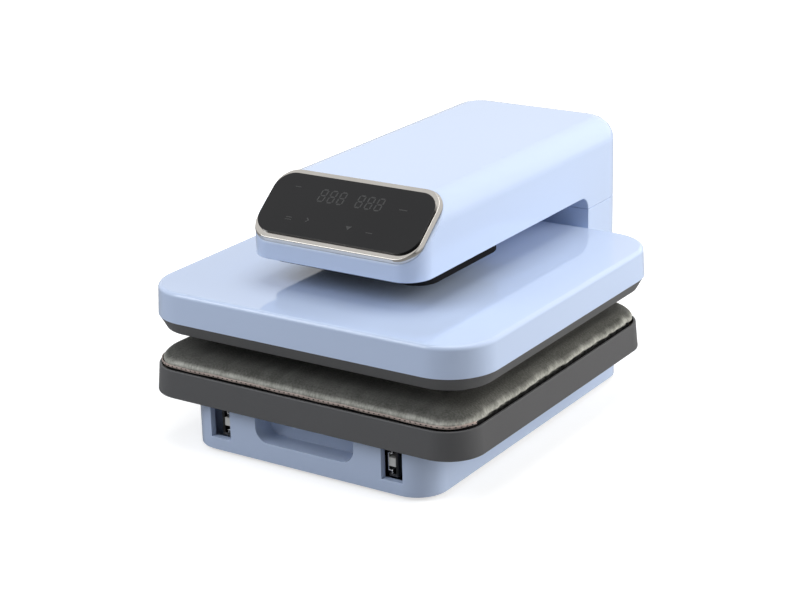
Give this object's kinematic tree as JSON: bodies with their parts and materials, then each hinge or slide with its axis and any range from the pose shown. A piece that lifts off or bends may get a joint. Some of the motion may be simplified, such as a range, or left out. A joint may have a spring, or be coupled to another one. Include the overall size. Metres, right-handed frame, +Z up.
{
  "type": "flat heat press",
  "caption": "Flat heat press: a motor and lead screw in the arm lower a square heated head onto a padded tray that pulls out to the front on telescopic slides.",
  "frame": {"origin": "on the table, under the middle of the outline, with the tray as in the picture", "axes": "+X to the right seen from the front, +Y to the rear, +Z up"},
  "size_m": [0.423, 0.5372, 0.2936],
  "materials": {
    "shell_blue": "glossy moulded plastic",
    "graphite": "fine matt texture",
    "black_plastic": "fine matt texture",
    "black_rubber": "matt",
    "steel": "plain sheet and turned steel",
    "zinc_steel": "bright zinc plate",
    "cast_aluminium": "machined face",
    "brass": "turned",
    "white_nylon": "satin",
    "white_fibre": "needled blanket",
    "circuit_board": "lacquered",
    "bezel_nickel": "satin nickel plate",
    "black_glass": "polished, printed black behind",
    "fibreboard": "sanded",
    "grey_felt": "felt with a faint nap"
  },
  "bodies": {
    "frame": {"base_shell": "shell_blue", "base_plate": "steel", "rubber_feet": "black_rubber", "foot_screws": "steel", "spine_left": "steel", "spine_right": "steel", "spine_ties": "steel", "drive_plate": "steel", "column_shell": "shell_blue", "rear_cover": "shell_blue", "rear_cover_screws": "steel", "mains_inlet": "black_plastic", "inlet_pins": "steel", "switch_housing": "black_plastic", "fuse_holder": "black_plastic", "power_board": "circuit_board", "power_parts": "graphite", "arm_shell": "shell_blue", "arm_under_plate": "black_plastic", "bezel": "bezel_nickel", "control_glass": "black_glass", "display_board": "circuit_board", "digit_display": "graphite", "drive_motor": "steel", "screw_bearing": "steel", "guide_bushes": "brass", "tray_glides": "white_nylon", "slide_outer_left": "zinc_steel", "slide_outer_right": "zinc_steel"},
    "pinion": {"motor_shaft": "steel", "motor_pinion": "brass"},
    "screw": {"lead_screw": "steel", "screw_gear": "white_nylon", "screw_collar": "steel"},
    "head": {"head_cover": "shell_blue", "head_skirt": "graphite", "platen": "cast_aluminium", "heating_element": "steel", "insulation": "white_fibre", "thermal_cutout": "black_plastic", "temperature_probe": "steel", "press_bracket": "steel", "platen_spacers": "steel", "screw_nut": "brass", "guide_rods": "steel", "bracket_screws": "steel"},
    "tray": {"tray": "graphite", "pad_board": "fibreboard", "pad": "grey_felt", "tray_bracket_left": "steel", "tray_bracket_right": "steel", "slide_inner_left": "zinc_steel", "slide_inner_right": "zinc_steel", "slide_blocks": "white_nylon"},
    "slide_middles": {"slide_middle_left": "zinc_steel", "slide_middle_right": "zinc_steel"},
    "rocker": {"switch_rocker": "black_plastic"}
  },
  "joints": [
    {"name": "press_slide", "type": "slide", "parent": "frame", "child": "head", "axis": [0, 0, -1], "range_m": [0, 0.021]},
    {"name": "screw_turn", "type": "hinge", "parent": "frame", "child": "screw", "pos_m": [0, -0.05133, 0.2], "axis": [0, 0, 1], "range_deg": [0, 946]},
    {"name": "pinion_turn", "type": "hinge", "parent": "frame", "child": "pinion", "pos_m": [0, -0.09933, 0.26], "axis": [0, 0, 1], "range_deg": [-2838, 0]},
    {"name": "tray_slide", "type": "slide", "parent": "frame", "child": "tray", "axis": [0, -1, 0], "range_m": [-0.01, 0.25]},
    {"name": "slide_middle", "type": "slide", "parent": "frame", "child": "slide_middles", "axis": [0, -1, 0], "range_m": [-0.006, 0.126]},
    {"name": "switch_rock", "type": "hinge", "parent": "frame", "child": "rocker", "pos_m": [0.018, 0.26067, 0.097], "axis": [1, 0, 0], "range_deg": [0, 16]}
  ],
  "couplings": [
    {"joint": "screw_turn", "follows": "press_slide", "rad_per_m": 785.4},
    {"joint": "pinion_turn", "follows": "press_slide", "rad_per_m": -2356.2},
    {"joint": "slide_middle", "follows": "tray_slide", "ratio": 0.5}
  ]
}
